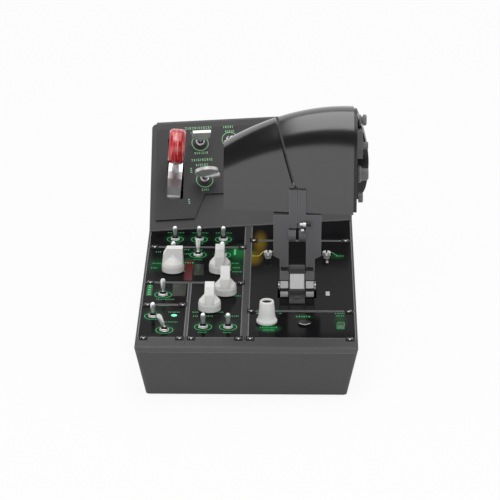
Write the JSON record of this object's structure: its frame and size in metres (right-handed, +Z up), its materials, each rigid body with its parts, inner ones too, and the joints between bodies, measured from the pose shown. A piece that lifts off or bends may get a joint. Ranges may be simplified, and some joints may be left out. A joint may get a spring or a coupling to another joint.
{
  "type": "flight simulator throttle quadrant",
  "caption": "Desktop throttle quadrant for flight simulation: paired throttle levers on one axle, toggle, rotary and detent controls, and a sloped rear console with a wheel-tipped gear lever.",
  "frame": {"origin": "centre of the four mounting holes, in the underside of the base plate", "axes": "+X to the right as seen from the user, +Y away from the user towards the console, +Z up"},
  "size_m": [0.2224, 0.4371, 0.2284],
  "materials": {
    "casing": "fine satin",
    "panel": "gloss",
    "face_plate": "satin",
    "steel_plate": "black powder coat",
    "black_screw": "black oxide",
    "black_plastic": "satin",
    "steel": "turned",
    "block_paint": "satin",
    "foot_rubber": "matt",
    "board": "solder mask",
    "arm_paint": "matt grey",
    "grip_gloss": "gloss",
    "control_grey": "satin",
    "white_plastic": "satin",
    "red_clear": "tinted clear",
    "shutter_metal": "brushed",
    "bright_metal": "bright",
    "button_plastic": "gloss",
    "lit_plastic": "tinted, lit from inside"
  },
  "bodies": {
    "base": {"base_tub": "casing", "base_plate": "steel_plate", "deck_frame": "casing", "rear_housing": "casing", "rear_panel": "face_plate", "panel_rear_left": "panel", "panel_mid_left": "panel", "panel_side": "panel", "panel_front_left": "panel", "panel_centre": "panel", "panel_front_right": "panel", "panel_throttle": "panel", "panel_rear_right": "panel", "panel_screws": "black_screw", "switch_cases": "black_plastic", "encoder_cases": "black_plastic", "throttle_axle": "steel", "pivot_block": "block_paint", "pivot_bracket": "casing", "rubber_feet": "foot_rubber", "main_board": "board", "gear_bracket": "black_plastic"},
    "throttle_left": {"arm_left": "arm_paint", "hub_left": "black_plastic", "grip_left": "grip_gloss"},
    "throttle_right": {"arm_right": "arm_paint", "hub_right": "black_plastic", "grip_right": "grip_gloss", "thumb_plate": "black_plastic"},
    "gear_lever": {"gear_arm": "white_plastic", "gear_wheel": "red_clear", "gear_shutter": "shutter_metal"},
    "hat_comm": {"hat_comm": "control_grey"},
    "speed_slider": {"speed_slider": "control_grey"},
    "aim_cone": {"aim_cone": "control_grey"},
    "cage_button": {"cage_button": "control_grey"},
    "toggle_rear_1": {"toggle_rear_1": "bright_metal"},
    "toggle_rear_2": {"toggle_rear_2": "bright_metal"},
    "toggle_rear_3": {"toggle_rear_3": "bright_metal"},
    "toggle_mid_1": {"toggle_mid_1": "bright_metal"},
    "toggle_mid_2": {"toggle_mid_2": "bright_metal"},
    "toggle_mid_3": {"toggle_mid_3": "bright_metal"},
    "toggle_front_1": {"toggle_front_1": "bright_metal"},
    "toggle_front_2": {"toggle_front_2": "bright_metal"},
    "toggle_side_1": {"toggle_side_1": "bright_metal"},
    "toggle_side_2": {"toggle_side_2": "bright_metal"},
    "toggle_side_3": {"toggle_side_3": "bright_metal"},
    "switch_tab": {"switch_tab": "bright_metal"},
    "switch_disc": {"switch_disc": "bright_metal"},
    "switch_bat": {"switch_bat": "bright_metal"},
    "knob_1": {"knob_1": "white_plastic"},
    "knob_2": {"knob_2": "white_plastic"},
    "knob_3": {"knob_3": "white_plastic"},
    "knob_4": {"knob_4": "white_plastic"},
    "knob_bell": {"knob_bell": "white_plastic"},
    "detent_left": {"detent_left": "bright_metal"},
    "detent_right": {"detent_right": "bright_metal"},
    "reset_button": {"reset_button": "button_plastic"},
    "thumbwheel": {"thumbwheel": "lit_plastic"}
  },
  "joints": [
    {"name": "throttle_left_swing", "type": "hinge", "parent": "base", "child": "throttle_left", "pos_m": [0.0476, -0.048, 0.052], "axis": [1, 0, 0], "range_deg": [-35, 35]},
    {"name": "throttle_right_swing", "type": "hinge", "parent": "base", "child": "throttle_right", "pos_m": [0.0476, -0.048, 0.052], "axis": [1, 0, 0], "range_deg": [-35, 35]},
    {"name": "hat_comm_tilt", "type": "hinge", "parent": "throttle_right", "child": "hat_comm", "pos_m": [0.1052, -0.014, 0.214], "axis": [0, 1, 0], "range_deg": [-6, 6], "stiffness_Nm_per_rad": 0.02},
    {"name": "speed_slider_slide", "type": "slide", "parent": "throttle_right", "child": "speed_slider", "axis": [0, 1, 0], "range_m": [-0.003, 0.003]},
    {"name": "aim_cone_tilt", "type": "hinge", "parent": "throttle_right", "child": "aim_cone", "pos_m": [0.1052, -0.024, 0.1615], "axis": [0, 1, 0], "range_deg": [-5, 5], "stiffness_Nm_per_rad": 0.05},
    {"name": "cage_button_press", "type": "slide", "parent": "throttle_right", "child": "cage_button", "axis": [-1, 0, 0], "range_m": [0, 0.0012], "stiffness_N_per_m": 300},
    {"name": "gear_lever_swing", "type": "hinge", "parent": "base", "child": "gear_lever", "pos_m": [-0.08256, 0.1885, 0.06131], "axis": [0.9969, 0, -0.0785], "range_deg": [0, 30]},
    {"name": "toggle_rear_1_throw", "type": "hinge", "parent": "base", "child": "toggle_rear_1", "pos_m": [-0.0773, 0.086, 0.0522], "axis": [1, 0, 0], "range_deg": [-44, 0]},
    {"name": "toggle_rear_2_throw", "type": "hinge", "parent": "base", "child": "toggle_rear_2", "pos_m": [-0.0526, 0.086, 0.0522], "axis": [1, 0, 0], "range_deg": [-44, 0]},
    {"name": "toggle_rear_3_throw", "type": "hinge", "parent": "base", "child": "toggle_rear_3", "pos_m": [-0.0279, 0.086, 0.0522], "axis": [1, 0, 0], "range_deg": [-44, 0]},
    {"name": "toggle_mid_1_throw", "type": "hinge", "parent": "base", "child": "toggle_mid_1", "pos_m": [-0.0773, 0.0425, 0.0522], "axis": [1, 0, 0], "range_deg": [-44, 0]},
    {"name": "toggle_mid_2_throw", "type": "hinge", "parent": "base", "child": "toggle_mid_2", "pos_m": [-0.0526, 0.0425, 0.0522], "axis": [1, 0, 0], "range_deg": [0, 44]},
    {"name": "toggle_mid_3_throw", "type": "hinge", "parent": "base", "child": "toggle_mid_3", "pos_m": [-0.0279, 0.0425, 0.0522], "axis": [1, 0, 0], "range_deg": [-44, 0]},
    {"name": "toggle_front_1_throw", "type": "hinge", "parent": "base", "child": "toggle_front_1", "pos_m": [-0.0419, -0.1446, 0.0522], "axis": [1, 0, 0], "range_deg": [-44, 0]},
    {"name": "toggle_front_2_throw", "type": "hinge", "parent": "base", "child": "toggle_front_2", "pos_m": [-0.0181, -0.1446, 0.0522], "axis": [1, 0, 0], "range_deg": [-44, 0]},
    {"name": "toggle_side_1_throw", "type": "hinge", "parent": "base", "child": "toggle_side_1", "pos_m": [-0.0908, -0.1189, 0.0522], "axis": [1, 0, 0], "range_deg": [-44, 0]},
    {"name": "toggle_side_2_throw", "type": "hinge", "parent": "base", "child": "toggle_side_2", "pos_m": [-0.0785, -0.1527, 0.0522], "axis": [0, 1, 0], "range_deg": [0, 44]},
    {"name": "toggle_side_3_throw", "type": "hinge", "parent": "base", "child": "toggle_side_3", "pos_m": [-0.0835, -0.0643, 0.0522], "axis": [1, 0, 0], "range_deg": [-22, 22]},
    {"name": "switch_tab_throw", "type": "hinge", "parent": "base", "child": "switch_tab", "pos_m": [-0.05421, 0.18466, 0.12255], "axis": [0.9854, 0.1702, 0], "range_deg": [-4, 14]},
    {"name": "switch_disc_throw", "type": "hinge", "parent": "base", "child": "switch_disc", "pos_m": [-0.04878, 0.1556, 0.09299], "axis": [0.9854, 0.1702, 0], "range_deg": [-14, 7]},
    {"name": "switch_bat_throw", "type": "hinge", "parent": "base", "child": "switch_bat", "pos_m": [-0.02257, 0.19012, 0.12255], "axis": [0.9854, 0.1702, 0], "range_deg": [-44, 0]},
    {"name": "knob_1_turn", "type": "hinge", "parent": "base", "child": "knob_1", "pos_m": [-0.0763, -0.0013, 0.05], "axis": [0, 0, 1], "range_deg": [-150, 150]},
    {"name": "knob_2_turn", "type": "hinge", "parent": "base", "child": "knob_2", "pos_m": [-0.0293, -0.0013, 0.05], "axis": [0, 0, 1], "range_deg": [-150, 150]},
    {"name": "knob_3_turn", "type": "hinge", "parent": "base", "child": "knob_3", "pos_m": [-0.0226, -0.0601, 0.05], "axis": [0, 0, 1], "range_deg": [-150, 150]},
    {"name": "knob_4_turn", "type": "hinge", "parent": "base", "child": "knob_4", "pos_m": [-0.0369, -0.1014, 0.05], "axis": [0, 0, 1], "range_deg": [-150, 150]},
    {"name": "knob_bell_turn", "type": "hinge", "parent": "base", "child": "knob_bell", "pos_m": [0.0187, -0.1336, 0.05], "axis": [0, 0, 1], "continuous": true},
    {"name": "detent_left_turn", "type": "hinge", "parent": "base", "child": "detent_left", "pos_m": [0.0184, 0.0334, 0.05], "axis": [0, 0, 1], "range_deg": [0, 90]},
    {"name": "detent_right_turn", "type": "hinge", "parent": "base", "child": "detent_right", "pos_m": [0.0775, 0.0334, 0.05], "axis": [0, 0, 1], "range_deg": [0, 90]},
    {"name": "reset_button_press", "type": "slide", "parent": "base", "child": "reset_button", "axis": [0, 0, -1], "range_m": [0, 0.0012], "stiffness_N_per_m": 400},
    {"name": "thumbwheel_turn", "type": "hinge", "parent": "base", "child": "thumbwheel", "pos_m": [0.0892, -0.1385, 0.0405], "axis": [1, 0, 0], "continuous": true}
  ]
}
